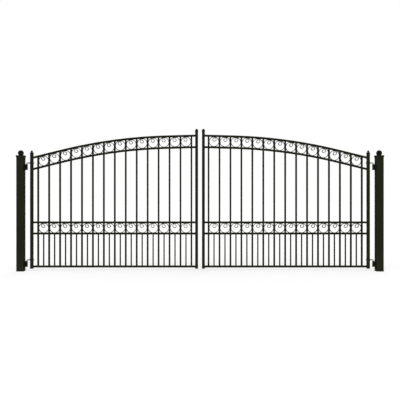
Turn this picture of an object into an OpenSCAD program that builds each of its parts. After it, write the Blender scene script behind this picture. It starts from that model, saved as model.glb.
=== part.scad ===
// Double driveway gate of welded square tube, hung between two posts on J-bolt hinges.
// Origin at the centre of the left post's foot, +X along the gate to the right post,
// +Y away from the viewer, +Z up. Millimetres.
// Each leaf is drawn once, by its distance u from the gate's centre line, and placed twice.

/* [Opening and posts] */
// clear opening between the posts
opening = 4876; // [4700:1:5100]
// side of the square post tube
post_side = 100; // [90:1:115]
// wall of the post tube
post_wall = 3; // [2:0.5:5]
// outside radius of the post tube's corners
post_corner = 6; // [4:0.5:9]
// post tube above the top rail, where that meets the hinge stile
post_rise = 17.5; // [0:0.5:24]

/* [Post cap] */
// how far the cap's lip stands out past the post
cap_lip_overhang = 7; // [5:0.5:8]
// height of the lip
cap_lip_height = 17; // [12:0.5:18]
// how far the skirt under the lip stands out past the post
cap_skirt_overhang = 3; // [2.5:0.5:4]
// height of the skirt
cap_skirt_height = 16; // [10:0.5:24]
// wall of the pressed cap
cap_wall = 2.2; // [1.5:0.1:2.2]
// diameter of the ball on the cap
cap_ball = 80; // [60:1:96]
// diameter of the ball's flat foot
cap_neck = 46; // [30:1:54]
// wall of the hollow ball
ball_wall = 2; // [1:0.5:4]

/* [Leaf frame] */
// side of the square stile tube
stile_side = 40; // [36:1:42]
// wall of the stile tube
stile_wall = 2; // [1.5:0.5:2.5]
// outside radius of the stile tube's corners
stile_corner = 3.5; // [3:0.5:5]
// side of the square rail tube
rail_side = 27; // [26.5:0.5:30]
// wall of the rail tube
rail_wall = 1.4; // [1:0.1:1.5]
// clear gap between the two leaves
meeting_gap = 54; // [30:1:80]
// clear gap between the hinge stile and the post
hinge_gap = 82; // [78:1:100]
// ground to the foot of the stiles
stile_foot = 35; // [20:1:45]
// ground to the bottom rail's centre line
bottom_rail_height = 64; // [60:1:100]
// ground to the lower mid rail's centre line
lower_mid_height = 521.5; // [400:0.5:700]

/* [Arch] */
// top rail's centre line at the middle of the gate
crown_height = 1882.5; // [1876:0.5:2100]
// slope of the straight part beside the meeting stile, degrees
crown_slope = 1.6; // [0.5:0.1:3]
// slope of the straight part beside the hinge stile, degrees
end_slope = 13.8; // [12.5:0.1:14]
// distance from the gate's middle to the start of the bend
bend_start = 472; // [300:1:500]
// radius of the bend, on the rail's centre line
bend_radius = 6862; // [6000:1:7000]

/* [Pickets] */
// bays with a ring, between the long pickets of a leaf
bay_count = 14; // [12:1:14]
// side of the long pickets
picket_side = 23.5; // [16:0.5:23.5]
// wall of the long pickets
picket_wall = 1.2; // [1:0.1:2]
// outside radius of the long pickets' corners
picket_corner = 2.2; // [2.1:0.1:3]
// side of the short pickets
short_side = 17.5; // [10:0.5:18]
// wall of the short pickets
short_wall = 1.2; // [1:0.1:2]
// outside radius of the short pickets' corners
short_corner = 2.2; // [2.1:0.1:3]
// meeting stile to the first picket, on centre lines
meeting_bay = 72; // [60:1:90]
// last picket to the hinge stile, on centre lines
hinge_bay = 89; // [80:1:110]
// play of a picket in its punched hole, each side
punch_play = 0.25; // [0.2:0.05:0.3]

/* [Rings and curls] */
// clear width inside a ring
ring_inside = 125.4; // [118:0.1:126]
// thickness of the ring's bar, before it is ground flat where it meets pickets and rails
ring_bar = 8; // [5:0.5:8.5]
// metal left on a ring where it is ground flat against a rail
ring_land = 1; // [0.8:0.1:1.5]
// thickness of the curl's bar
curl_bar = 8; // [5:0.5:8]
// depth of both bars, front to back
bar_depth = 16; // [8:0.5:18]
// curl's large radius, where it leaves the ring
curl_start = 27; // [24:0.5:28]
// curl's middle radius, along its foot
curl_foot = 20; // [18:0.5:21]
// curl's small radius, at its free end
curl_end = 18.5; // [15:0.5:19]
// how far the curl's centre lies towards the hinge
curl_shift = 2.5; // [1:0.5:4]
// how far the curl is let into the ring where they touch
curl_weld = 0.8; // [0.6:0.1:1.2]

/* [Stile ends] */
// hinge stile's tube above the top rail, where they meet
hinge_rise = 73.5; // [60:0.5:85]
// meeting stile's tube above the top rail, where they meet
meeting_rise = 59.5; // [50:0.5:90]
// wall of the stile caps
stile_cap_wall = 1.8; // [1:0.1:2.5]
// play between a cap's skirt and its tube, each side
cap_play = 0.2; // [0.1:0.05:0.4]
// skirt height of the hinge stile's cap
ball_cap_skirt = 17; // [10:0.5:18]
// diameter of the hinge stile's ball
stile_ball = 31; // [22:0.5:34]
// diameter of that ball's neck
stile_neck = 15; // [10:0.5:18]
// skirt height of the meeting stile's cap
point_cap_skirt = 8; // [6:0.5:14]
// height of the pointed cap above its skirt
point_height = 35; // [28:0.5:50]

/* [Hinges] */
// diameter of the J-bolts
bolt = 16; // [12:0.5:17]
// radius of the J-bolt's bend, on its centre line
bolt_bend = 18; // [15:0.5:20]
// hinge axis to the post's inner face
axis_offset = 32; // [31:0.5:36]
// outside diameter of a hinge barrel
barrel = 28; // [24:0.5:32]
// height of a hinge barrel
barrel_height = 80; // [60:1:90]
// pin end above the barrel's foot
pin_short = 5; // [2:0.5:20]
// pin's radial play in the barrel
pin_play = 0.08; // [0.02:0.01:0.1]
// seat of the bend above the barrel
barrel_play = 0.3; // [0.2:0.1:1]
// thickness of the web from barrel to post
web = 12; // [8:0.5:20]
// thickness of the barrel's weld plate
plate = 4; // [3:0.5:6]
// width of the weld plate
plate_width = 44; // [30:1:60]
// upper J-bolt below the top rail, at the hinge stile
upper_drop = 69.5; // [50:0.5:90]
// lower J-bolt above the bottom rail
lower_rise = 93; // [90:1:200]
// nut, across its flats
nut_flats = 24; // [22:0.5:30]
// nut height
nut_height = 9; // [8:0.5:15]
// thread that stands past the inner nut
thread_past = 3; // [2:0.5:12]
// radial play of the bolt in the nuts
nut_play = 0.1; // [0.05:0.05:0.2]
// radial play of the bolt in the stile
hole_play = 0.5; // [0.3:0.1:1]

/* [Fits] */
// gap left at each welded seam
weld_gap = 0.15; // [0.05:0.05:0.3]

/* [Hidden] */
black = [0.13, 0.135, 0.1];
zinc = [0.55, 0.55, 0.51];
past = 1;
round_fn = 96;
arch_fn = 1440;
corner_fn = 32;
half_opening = opening / 2;
gate_middle = half_opening + post_side / 2;
hinge_u = half_opening - hinge_gap - stile_side / 2;
meeting_u = meeting_gap / 2 + stile_side / 2;
rail_in = meeting_u + stile_side / 2 + weld_gap;
rail_out = hinge_u - stile_side / 2 - weld_gap;
first_u = meeting_u + meeting_bay;
last_u = hinge_u - hinge_bay;
pitch = (last_u - first_u) / bay_count;
band_half = ring_inside / 2 + ring_land + weld_gap;
band_step = 2 * band_half + rail_side;
upper_mid_height = lower_mid_height + band_step;
arch_step = band_step / cos(end_slope);
bay_half = (pitch - picket_side) / 2 - weld_gap;
punch = picket_side + 2 * punch_play;
bend_u = bend_start - bend_radius * sin(crown_slope);
bend_z = crown_height - bend_start * tan(crown_slope) - bend_radius * cos(crown_slope);
// a straight runs this far inside the bend's tangent, so that the two always meet
tangent_ease = 0.02;
arch_past = 100;
arch_floor = arch_z(hinge_u, 0) - 3 * arch_past;
hinge_tube_top = arch_z(hinge_u, 0) + hinge_rise;
meeting_tube_top = arch_z(meeting_u, 0) + meeting_rise;
stile_cap_side = stile_side + 2 * (cap_play + stile_cap_wall);
axis_u = half_opening - axis_offset;
post_height = arch_z(hinge_u, 0) + post_rise;
upper_bolt_z = arch_z(hinge_u, 0) - upper_drop;
lower_bolt_z = bottom_rail_height + lower_rise;
bolt_end_u = hinge_u - stile_side / 2 - weld_gap - nut_height - thread_past;
curl_reach = ring_inside / 2 + curl_weld - curl_bar / 2 - curl_start;
curl_z = sqrt(curl_reach * curl_reach - curl_shift * curl_shift);
curl_lead = 12;
curl_tail = 25;

// where the bend begins and ends, for a line d outside the rail's centre line
function bend_in(d) = bend_u + (bend_radius + d) * sin(crown_slope);
function bend_out(d) = bend_u + (bend_radius + d) * sin(end_slope);
// the two straight lines, and the height of the whole line, at the distance u from the gate's middle
function line_in(u, d) = crown_height + d / cos(crown_slope) - u * tan(crown_slope);
function line_out(u, d) = bend_z + (bend_radius + d) * cos(end_slope) - (u - bend_out(d)) * tan(end_slope);
function arch_z(u, d) =
    u < bend_in(d) ? line_in(u, d)
    : u > bend_out(d) ? line_out(u, d)
    : bend_z + sqrt(pow(bend_radius + d, 2) - pow(u - bend_u, 2));
function picket_u(i) = first_u + i * pitch;
function bay_u(i) = first_u + (i + 0.5) * pitch;

// the two sides of the gate
module right_side() translate([gate_middle, 0, 0]) children();
module left_side() translate([gate_middle, 0, 0]) mirror([1, 0, 0]) children();

// a sketch in the leaf's plane, made solid front to back
module upright(depth) rotate([90, 0, 0]) linear_extrude(height = depth, center = true) children();

// a bar of flat section on an arc in the leaf's plane, from one angle to another
module arc_bar(radius, thick, depth, from, to, fn)
    rotate([90, 0, 0]) rotate([0, 0, from])
        rotate_extrude(angle = to - from, $fn = fn)
            translate([radius, 0]) square([thick, depth], center = true);

module square_bar(side, low, high)
    translate([-side / 2, -side / 2, low]) cube([side, side, high - low]);

// a square with rounded corners, as drawn tube has
module round_square(side, corner) {
    flat = side - 2 * corner;
    square([flat, side], center = true);
    square([side, flat], center = true);
    for (x = [-flat / 2, flat / 2], y = [-flat / 2, flat / 2])
        translate([x, y]) circle(r = corner, $fn = corner_fn);
}

module round_bar(side, corner, low, high)
    translate([0, 0, low]) linear_extrude(height = high - low) round_square(side, corner);

module square_tube(side, wall, corner, low, high) difference() {
    round_bar(side, corner, low, high);
    round_bar(side - 2 * wall, corner - wall, low - past, high + past);
}

module along(side, from, to, height)
    translate([from, -side / 2, height - side / 2]) cube([to - from, side, side]);

// posts

module post() translate([half_opening + post_side / 2, 0, 0])
    square_tube(post_side, post_wall, post_corner, 0, post_height);

// a lip over a skirt, both following the tube's corners, hollow underneath
module post_cap() {
    seat = post_height + weld_gap;
    low = seat - cap_skirt_height;
    translate([half_opening + post_side / 2, 0, 0]) difference() {
        union() {
            round_bar(post_side + 2 * cap_lip_overhang, post_corner + cap_lip_overhang,
                seat, seat + cap_lip_height);
            round_bar(post_side + 2 * cap_skirt_overhang, post_corner + cap_skirt_overhang,
                low, seat + cap_wall);
        }
        round_bar(post_side + 2 * cap_play, post_corner + cap_play, low - past, seat);
        round_bar(post_side - 2 * post_wall, post_corner - post_wall,
            seat - past, seat + cap_lip_height - cap_wall);
    }
}

module post_ball() {
    seat = post_height + cap_lip_height + 2 * weld_gap;
    rise = sqrt(pow(cap_ball / 2, 2) - pow(cap_neck / 2, 2));
    translate([half_opening + post_side / 2, 0, seat]) intersection() {
        translate([0, 0, rise]) difference() {
            sphere(d = cap_ball, $fn = round_fn);
            sphere(d = cap_ball - 2 * ball_wall, $fn = round_fn);
        }
        cylinder(d = cap_ball + past, h = rise + cap_ball, $fn = round_fn);
    }
}

module hinge_barrel(bolt_z) {
    top = bolt_z - bolt_bend - barrel_play;
    low = top - barrel_height;
    face = half_opening - weld_gap;
    difference() {
        union() {
            translate([axis_u, 0, low]) cylinder(d = barrel, h = barrel_height, $fn = round_fn);
            translate([axis_u, -web / 2, low]) cube([face - axis_u, web, barrel_height]);
            translate([face - plate, -plate_width / 2, low]) cube([plate, plate_width, barrel_height]);
        }
        translate([axis_u, 0, low - past])
            cylinder(d = bolt + 2 * pin_play, h = barrel_height + 2 * past, $fn = round_fn);
    }
}

// leaf frame

module hinge_stile() translate([hinge_u, 0, 0]) difference() {
    square_tube(stile_side, stile_wall, stile_corner, stile_foot, hinge_tube_top);
    for (z = [upper_bolt_z, lower_bolt_z])
        translate([-stile_side, 0, z]) rotate([0, 90, 0])
            cylinder(d = bolt + 2 * hole_play, h = 2 * stile_side, $fn = round_fn);
}

module meeting_stile() translate([meeting_u, 0, 0])
    square_tube(stile_side, stile_wall, stile_corner, stile_foot, meeting_tube_top);

// a pressed cap's skirt and top plate over a stile's end
module stile_cap_shell(tube_top, skirt) difference() {
    round_bar(stile_cap_side, stile_corner + cap_play + stile_cap_wall,
        tube_top - skirt, tube_top + weld_gap + stile_cap_wall);
    round_bar(stile_side + 2 * cap_play, stile_corner + cap_play,
        tube_top - skirt - past, tube_top + weld_gap);
}

module hinge_stile_cap() translate([hinge_u, 0, 0]) {
    top = hinge_tube_top + weld_gap + stile_cap_wall;
    rise = sqrt(pow(stile_ball / 2, 2) - pow(stile_neck / 2, 2));
    stile_cap_shell(hinge_tube_top, ball_cap_skirt);
    translate([0, 0, top]) intersection() {
        translate([0, 0, rise]) sphere(d = stile_ball, $fn = round_fn);
        translate([0, 0, -stile_cap_wall / 2])
            cylinder(d = stile_ball + past, h = rise + stile_ball, $fn = round_fn);
    }
}

// one side of the pointed cap, two arcs that meet at the tip
module ogive(half, height) {
    radius = (half * half + height * height) / (2 * half);
    intersection() {
        translate([half - radius, 0]) circle(r = radius, $fn = round_fn);
        translate([radius - half, 0]) circle(r = radius, $fn = round_fn);
        translate([-half, 0]) square([2 * half, height + past]);
    }
}

module meeting_stile_point() translate([meeting_u, 0, 0]) {
    base = meeting_tube_top + weld_gap + stile_cap_wall;
    stile_cap_shell(meeting_tube_top, point_cap_skirt);
    translate([0, 0, base]) intersection() {
        upright(stile_cap_side) ogive(stile_cap_side / 2, point_height);
        rotate([0, 0, 90]) upright(stile_cap_side) ogive(stile_cap_side / 2, point_height);
        round_bar(stile_cap_side, stile_corner + cap_play + stile_cap_wall, -past, point_height + past);
    }
}

// rails

module straight_rail(height) difference() {
    along(rail_side, rail_in, rail_out, height);
    along(rail_side - 2 * rail_wall, rail_in - past, rail_out + past, height);
}

module punches(height, reach) for (i = [0 : bay_count])
    translate([picket_u(i), 0, 0]) square_bar(punch, height - reach, height + reach);

module punched_rail(height) difference() {
    straight_rail(height);
    punches(height, rail_side);
}

// everything under a line d outside the rail's centre line: straight, bent, straight
module under_arch(d) {
    ease = d - tangent_ease;
    translate([bend_u, bend_z]) circle(r = bend_radius + d, $fn = arch_fn);
    polygon([
        [-arch_past, arch_floor],
        [bend_in(d), arch_floor],
        [bend_in(d), line_in(bend_in(d), ease)],
        [-arch_past, line_in(-arch_past, ease)]]);
    polygon([
        [bend_out(d), arch_floor],
        [hinge_u + arch_past, arch_floor],
        [hinge_u + arch_past, line_out(hinge_u + arch_past, ease)],
        [bend_out(d), line_out(bend_out(d), ease)]]);
}

// a square bar along the arch, cut upright at both ends
module arch_bar(side, from, to) upright(side) intersection() {
    difference() {
        under_arch(side / 2);
        under_arch(-side / 2);
    }
    translate([from, arch_floor + arch_past]) square([to - from, crown_height - arch_floor]);
}

module arch_rail() difference() {
    arch_bar(rail_side, rail_in, rail_out);
    arch_bar(rail_side - 2 * rail_wall, rail_in - past, rail_out + past);
}

module band_rail() translate([0, 0, -arch_step]) difference() {
    arch_rail();
    for (i = [0 : bay_count])
        translate([picket_u(i), 0, arch_z(picket_u(i), 0)]) square_bar(punch, -rail_side, rail_side);
}

// pickets

// front outline of the space for a long picket, cut to the slope of the rail above
module picket_outline(u, half, low) {
    seam = -rail_side / 2 - weld_gap;
    polygon([
        [u - half, low],
        [u + half, low],
        [u + half, arch_z(u + half, seam)],
        [u - half, arch_z(u - half, seam)]]);
}

module picket(u) {
    low = bottom_rail_height + rail_side / 2 + weld_gap;
    intersection() {
        translate([u, 0, 0]) square_tube(picket_side, picket_wall, picket_corner, low, crown_height);
        upright(2 * picket_side) picket_outline(u, picket_side, low - past);
    }
}

module pickets() for (i = [0 : bay_count]) picket(picket_u(i));

module short_pickets() for (i = [0 : bay_count - 1])
    translate([bay_u(i), 0, 0])
        square_tube(short_side, short_wall, short_corner,
            bottom_rail_height + rail_side / 2 + weld_gap, lower_mid_height - rail_side / 2 - weld_gap);

// scroll bands

module curl() {
    foot_z = curl_z - curl_start + curl_foot;
    translate([curl_shift, 0, curl_z])
        arc_bar(curl_start, curl_bar, bar_depth, -90, 90 + curl_lead, round_fn);
    translate([curl_shift, 0, foot_z])
        arc_bar(curl_foot, curl_bar, bar_depth, 180, 270, round_fn);
    // mirrored, so that its first face is the exact end of the foot's arc
    translate([curl_shift - curl_foot + curl_end, 0, foot_z]) mirror([1, 0, 0])
        arc_bar(curl_end, curl_bar, bar_depth, 0, 90 + curl_tail, round_fn);
}

module ring() {
    upright(bar_depth) difference() {
        circle(d = ring_inside + 2 * ring_bar, $fn = round_fn);
        circle(d = ring_inside, $fn = round_fn);
    }
    curl();
}

// front outlines of the space between two pickets and two rails, to which a ring is ground flat
module arch_bay(u) {
    seam = rail_side / 2 + weld_gap;
    steps = [for (k = [-1 : 0.5 : 1]) u + k * bay_half];
    polygon(concat(
        [for (k = [0 : 4]) [steps[k], arch_z(steps[k], seam) - arch_step]],
        [for (k = [4 : -1 : 0]) [steps[k], arch_z(steps[k], -seam)]]));
}

module mid_bay(u) translate([u, lower_mid_height + band_step / 2])
    square([2 * bay_half, 2 * (band_half - weld_gap)], center = true);

module arch_rings() for (i = [0 : bay_count - 1]) intersection() {
    translate([bay_u(i), 0, arch_z(bay_u(i), 0) - arch_step / 2]) ring();
    upright(2 * bar_depth) arch_bay(bay_u(i));
}

module mid_rings() for (i = [0 : bay_count - 1]) intersection() {
    translate([bay_u(i), 0, lower_mid_height + band_step / 2]) ring();
    upright(2 * bar_depth) mid_bay(bay_u(i));
}

// hinges

module j_bolt(bolt_z) {
    bend_at = axis_u - bolt_bend;
    pin_top = bolt_z - bolt_bend;
    pin_low = pin_top - barrel_play - barrel_height + pin_short;
    translate([bolt_end_u, 0, bolt_z]) rotate([0, 90, 0])
        cylinder(d = bolt, h = bend_at - bolt_end_u, $fn = round_fn);
    translate([bend_at, 0, pin_top]) rotate([90, 0, 0])
        rotate_extrude(angle = 90, $fn = round_fn)
            translate([bolt_bend, 0]) circle(d = bolt, $fn = round_fn);
    translate([axis_u, 0, pin_low]) cylinder(d = bolt, h = pin_top - pin_low, $fn = round_fn);
}

module nut(u, bolt_z) translate([u, 0, bolt_z]) rotate([0, 90, 0]) difference() {
    cylinder(d = nut_flats / cos(30), h = nut_height, $fn = 6);
    translate([0, 0, -past])
        cylinder(d = bolt + 2 * nut_play, h = nut_height + 2 * past, $fn = round_fn);
}

module hinge_nuts() for (z = [upper_bolt_z, lower_bolt_z]) {
    nut(hinge_u - stile_side / 2 - weld_gap - nut_height, z);
    nut(hinge_u + stile_side / 2 + weld_gap, z);
}

// nodes

module left_post() color(black) left_side() post();
module left_post_cap() color(black) left_side() post_cap();
module left_post_ball() color(black) left_side() post_ball();
module left_upper_hinge_barrel() color(black) left_side() hinge_barrel(upper_bolt_z);
module left_lower_hinge_barrel() color(black) left_side() hinge_barrel(lower_bolt_z);
module right_post() color(black) right_side() post();
module right_post_cap() color(black) right_side() post_cap();
module right_post_ball() color(black) right_side() post_ball();
module right_upper_hinge_barrel() color(black) right_side() hinge_barrel(upper_bolt_z);
module right_lower_hinge_barrel() color(black) right_side() hinge_barrel(lower_bolt_z);

module left_hinge_stile() color(black) left_side() hinge_stile();
module left_hinge_stile_cap() color(black) left_side() hinge_stile_cap();
module left_meeting_stile() color(black) left_side() meeting_stile();
module left_meeting_stile_point() color(black) left_side() meeting_stile_point();
module left_top_rail() color(black) left_side() arch_rail();
module left_band_rail() color(black) left_side() band_rail();
module left_upper_mid_rail() color(black) left_side() punched_rail(upper_mid_height);
module left_lower_mid_rail() color(black) left_side() punched_rail(lower_mid_height);
module left_bottom_rail() color(black) left_side() straight_rail(bottom_rail_height);
module left_pickets() color(black) left_side() pickets();
module left_short_pickets() color(black) left_side() short_pickets();
module left_arch_rings() color(black) left_side() arch_rings();
module left_mid_rings() color(black) left_side() mid_rings();
module left_upper_j_bolt() color(zinc) left_side() j_bolt(upper_bolt_z);
module left_lower_j_bolt() color(zinc) left_side() j_bolt(lower_bolt_z);
module left_hinge_nuts() color(zinc) left_side() hinge_nuts();

module right_hinge_stile() color(black) right_side() hinge_stile();
module right_hinge_stile_cap() color(black) right_side() hinge_stile_cap();
module right_meeting_stile() color(black) right_side() meeting_stile();
module right_meeting_stile_point() color(black) right_side() meeting_stile_point();
module right_top_rail() color(black) right_side() arch_rail();
module right_band_rail() color(black) right_side() band_rail();
module right_upper_mid_rail() color(black) right_side() punched_rail(upper_mid_height);
module right_lower_mid_rail() color(black) right_side() punched_rail(lower_mid_height);
module right_bottom_rail() color(black) right_side() straight_rail(bottom_rail_height);
module right_pickets() color(black) right_side() pickets();
module right_short_pickets() color(black) right_side() short_pickets();
module right_arch_rings() color(black) right_side() arch_rings();
module right_mid_rings() color(black) right_side() mid_rings();
module right_upper_j_bolt() color(zinc) right_side() j_bolt(upper_bolt_z);
module right_lower_j_bolt() color(zinc) right_side() j_bolt(lower_bolt_z);
module right_hinge_nuts() color(zinc) right_side() hinge_nuts();

left_post();
left_post_cap();
left_post_ball();
left_upper_hinge_barrel();
left_lower_hinge_barrel();
right_post();
right_post_cap();
right_post_ball();
right_upper_hinge_barrel();
right_lower_hinge_barrel();
left_hinge_stile();
left_hinge_stile_cap();
left_meeting_stile();
left_meeting_stile_point();
left_top_rail();
left_band_rail();
left_upper_mid_rail();
left_lower_mid_rail();
left_bottom_rail();
left_pickets();
left_short_pickets();
left_arch_rings();
left_mid_rings();
left_upper_j_bolt();
left_lower_j_bolt();
left_hinge_nuts();
right_hinge_stile();
right_hinge_stile_cap();
right_meeting_stile();
right_meeting_stile_point();
right_top_rail();
right_band_rail();
right_upper_mid_rail();
right_lower_mid_rail();
right_bottom_rail();
right_pickets();
right_short_pickets();
right_arch_rings();
right_mid_rings();
right_upper_j_bolt();
right_lower_j_bolt();
right_hinge_nuts();
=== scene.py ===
# %% [markdown]
# # A double driveway gate, dressed in Blender
# The gate is two arched leaves of welded square tube, hung on J-bolts between two posts.
# Its shapes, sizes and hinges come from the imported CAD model, which is the fixed frame here.
# Blender adds what a workshop adds to a drawing: softened corners, bent scrolls, weld beads,
# threads, chamfered nuts, and a coat of black paint over everything but the hinge bolts.

# %% Load the frame
import math

import bpy
from mathutils import Matrix, Vector


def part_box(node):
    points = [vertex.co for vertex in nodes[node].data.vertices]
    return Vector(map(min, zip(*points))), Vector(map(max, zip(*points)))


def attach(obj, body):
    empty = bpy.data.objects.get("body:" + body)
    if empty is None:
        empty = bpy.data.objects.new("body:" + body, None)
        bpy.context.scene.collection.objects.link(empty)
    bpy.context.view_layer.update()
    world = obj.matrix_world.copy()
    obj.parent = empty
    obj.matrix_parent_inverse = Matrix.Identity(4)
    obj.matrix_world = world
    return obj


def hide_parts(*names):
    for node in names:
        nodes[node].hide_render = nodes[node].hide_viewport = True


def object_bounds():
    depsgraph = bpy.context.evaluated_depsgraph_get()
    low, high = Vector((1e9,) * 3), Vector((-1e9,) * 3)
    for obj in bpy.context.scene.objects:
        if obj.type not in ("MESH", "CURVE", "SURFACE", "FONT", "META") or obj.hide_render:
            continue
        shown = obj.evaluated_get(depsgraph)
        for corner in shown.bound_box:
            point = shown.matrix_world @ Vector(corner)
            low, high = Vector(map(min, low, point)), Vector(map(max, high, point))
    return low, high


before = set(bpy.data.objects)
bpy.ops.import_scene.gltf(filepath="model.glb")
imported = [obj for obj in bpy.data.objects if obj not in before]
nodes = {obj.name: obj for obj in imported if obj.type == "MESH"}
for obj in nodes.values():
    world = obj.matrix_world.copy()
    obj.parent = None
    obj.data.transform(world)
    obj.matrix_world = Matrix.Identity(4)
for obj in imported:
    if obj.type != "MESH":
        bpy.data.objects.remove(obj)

cad_low, cad_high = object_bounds()
gate_middle = (cad_low.x + cad_high.x) / 2
bpy.ops.object.select_all(action="DESELECT")

# %% [markdown]
# ## Where the camera stands
# The photograph looks straight at the gate's middle, level, with the horizon half way up.
# A camera could be pushed about until the picture looks right. Here three measures place it:
# how much of the leaf one pixel covers, the focal length in pixels, and the eye's height.
# The focal length shows in how much of the posts' inner sides the picture lets us see.

# %% Camera
IMAGE_SIDE = 400
LEAF_METRES_PER_PIXEL = 0.01389
FOCAL_PIXELS = 555
EYE_HEIGHT = 0.987
SENSOR_MM = 36.0

eye_distance = FOCAL_PIXELS * LEAF_METRES_PER_PIXEL
bpy.ops.object.camera_add(location=(gate_middle, -eye_distance, EYE_HEIGHT), rotation=(math.pi / 2, 0, 0))
camera = bpy.context.object
camera.name = "photo_camera"
camera.data.sensor_width = SENSOR_MM
camera.data.lens = SENSOR_MM * FOCAL_PIXELS / IMAGE_SIDE
bpy.context.scene.camera = camera
bpy.context.scene.view_settings.view_transform = "Standard"
print(f"camera: {camera.data.lens:.1f} mm lens, {eye_distance:.2f} m from the leaves")

# %% [markdown]
# ## A helper for node trees
# Shader trees are long to write out by hand. This helper adds one node: settings are given by
# name, and each input takes either a plain value or the socket that feeds it.

# %% Node helper
def put(tree, kind, feeds=None, **settings):
    made = tree.nodes.new(kind)
    for name, value in settings.items():
        setattr(made, name, value)
    for name, value in (feeds or {}).items():
        if isinstance(value, bpy.types.NodeSocket):
            tree.links.new(value, made.inputs[name])
        else:
            made.inputs[name].default_value = value
    return made


def seen_rays(tree):
    """1 where the camera looks, straight, in a reflection or through glass, and 0 for the rays that light things."""
    path = put(tree, "ShaderNodeLightPath").outputs
    direct = put(tree, "ShaderNodeMath", {0: path["Is Camera Ray"], 1: path["Is Glossy Ray"]}, operation="MAXIMUM")
    return put(tree, "ShaderNodeMath", {0: direct.outputs[0], 1: path["Is Transmission Ray"]},
               operation="MAXIMUM").outputs[0]


print("node helpers: put and seen_rays")

# %% [markdown]
# ## Studio light
# The picture has a plain white ground and soft light from the front: the posts' front faces
# are a little lighter than their sides. A ring of lamps would do, but lamps fade with distance
# and the floor would grey towards the horizon. Broad suns light floor and gate evenly, two from
# the front and a weak one for the back, and the white world fills the shadows.

# %% World and suns
WORLD_FILL = 0.42
SUNS = {                 # strength, turn from straight ahead, height, in degrees
    "key_sun": (1.75, -24, 38),
    "fill_sun": (0.95, 30, 32),
    "back_sun": (0.8, 165, 45),
}
SUN_SPREAD = math.radians(55)
SUN_PLACE = (gate_middle, -3, 4)     # any place will do: only a sun's direction counts

world = bpy.data.worlds.new("white_studio")
bpy.context.scene.world = world
world.use_nodes = True
sky = world.node_tree
sky.nodes.clear()
sky_level = put(sky, "ShaderNodeMapRange", {"Value": seen_rays(sky), "To Min": WORLD_FILL, "To Max": 1.0})
sky_white = put(sky, "ShaderNodeBackground", {"Color": (1, 1, 1, 1), "Strength": sky_level.outputs[0]})
put(sky, "ShaderNodeOutputWorld", {"Surface": sky_white.outputs[0]})

for name, (strength, turn, height) in SUNS.items():
    bpy.ops.object.light_add(type="SUN", location=SUN_PLACE,
                             rotation=(math.radians(90 - height), 0, math.radians(turn)))
    sun = bpy.context.object
    sun.name = name
    sun.data.energy = strength
    sun.data.angle = SUN_SPREAD
print("light:", ", ".join(SUNS), "and a white world")

# %% [markdown]
# ## The floor
# The gate stands on a plain pale floor, which has to be as white as the background and still
# keep a soft shadow. White paint alone stays a little grey in this light, so the floor adds a
# little light of its own, for what the camera sees and not for what lights the gate.

# %% Floor
FLOOR_SIDE = 400
FLOOR_COLOUR = (0.39, 0.39, 0.388, 1)
FLOOR_LIFT = 0.60

bpy.ops.mesh.primitive_plane_add(size=FLOOR_SIDE, location=(gate_middle, 0, 0))
floor = bpy.context.object
floor.name = "studio_floor"
floor_finish = bpy.data.materials.new("floor_white")
floor_finish.use_nodes = True
tree = floor_finish.node_tree
tree.nodes.clear()
matt = put(tree, "ShaderNodeBsdfDiffuse", {"Color": FLOOR_COLOUR})
lift = put(tree, "ShaderNodeMath", {0: seen_rays(tree), 1: FLOOR_LIFT}, operation="MULTIPLY")
glow = put(tree, "ShaderNodeEmission", {"Strength": lift.outputs[0]})
both = put(tree, "ShaderNodeAddShader", {0: matt.outputs[0], 1: glow.outputs[0]})
put(tree, "ShaderNodeOutputMaterial", {"Surface": both.outputs[0]})
floor.data.materials.append(floor_finish)
print("floor:", FLOOR_SIDE, "m square")

# %% [markdown]
# ## What all the paint shares
# The gate is sprayed black. Sprayed paint has a fine orange peel, its gloss drifts where it went
# on thicker, it rubs thin along edges, and dust settles near the ground and on what faces up.
# Each effect is a node group, made once, so that every painted material can use it with its own
# values. All of them read Object coordinates, which stay with a leaf when it swings.

# %% Group helpers
def new_group(name, takes, gives):
    group = bpy.data.node_groups.new(name, "ShaderNodeTree")
    for socket, value in takes.items():
        group.interface.new_socket(socket, in_out="INPUT", socket_type="NodeSocketFloat").default_value = value
    for socket in gives:
        group.interface.new_socket(socket, in_out="OUTPUT", socket_type="NodeSocketFloat")
    return group, group.nodes.new("NodeGroupInput").outputs, group.nodes.new("NodeGroupOutput")


def cloud(tree, place, scale, detail):
    return put(tree, "ShaderNodeTexNoise", {"Vector": place, "Scale": scale, "Detail": detail}).outputs[0]


def spread(tree, value, low, high):
    return put(tree, "ShaderNodeMapRange", {"Value": value, "From Min": low, "From Max": high}).outputs[0]


def times(tree, a, b):
    return put(tree, "ShaderNodeMath", {0: a, 1: b}, operation="MULTIPLY").outputs[0]


print("group helpers: new_group, cloud, spread and times")

# %% [markdown]
# ## Sprayed skin
# This group gives the height of the orange peel, a slow drift of colour and a drift of gloss.
# Three clouds of noise make them. Noise seldom leaves the middle of its range, so the two drifts
# are stretched to run from 0 to 1.

# %% Sprayed skin
NOISE_MIDDLE = (0.3, 0.7)

skin, takes, gives = new_group("sprayed_skin", {"Peel": 420.0, "Drift": 2.5, "Gloss": 16.0},
                               ("Peel Height", "Colour Drift", "Gloss Drift"))
place = put(skin, "ShaderNodeTexCoord").outputs["Object"]
colour_drift = spread(skin, cloud(skin, place, takes["Drift"], 5.0), *NOISE_MIDDLE)
gloss_drift = spread(skin, cloud(skin, place, takes["Gloss"], 4.0), *NOISE_MIDDLE)
skin.links.new(cloud(skin, place, takes["Peel"], 2.0), gives.inputs["Peel Height"])
skin.links.new(colour_drift, gives.inputs["Colour Drift"])
skin.links.new(gloss_drift, gives.inputs["Gloss Drift"])
print(f"{skin.name}: {len(skin.nodes)} nodes")

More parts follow.
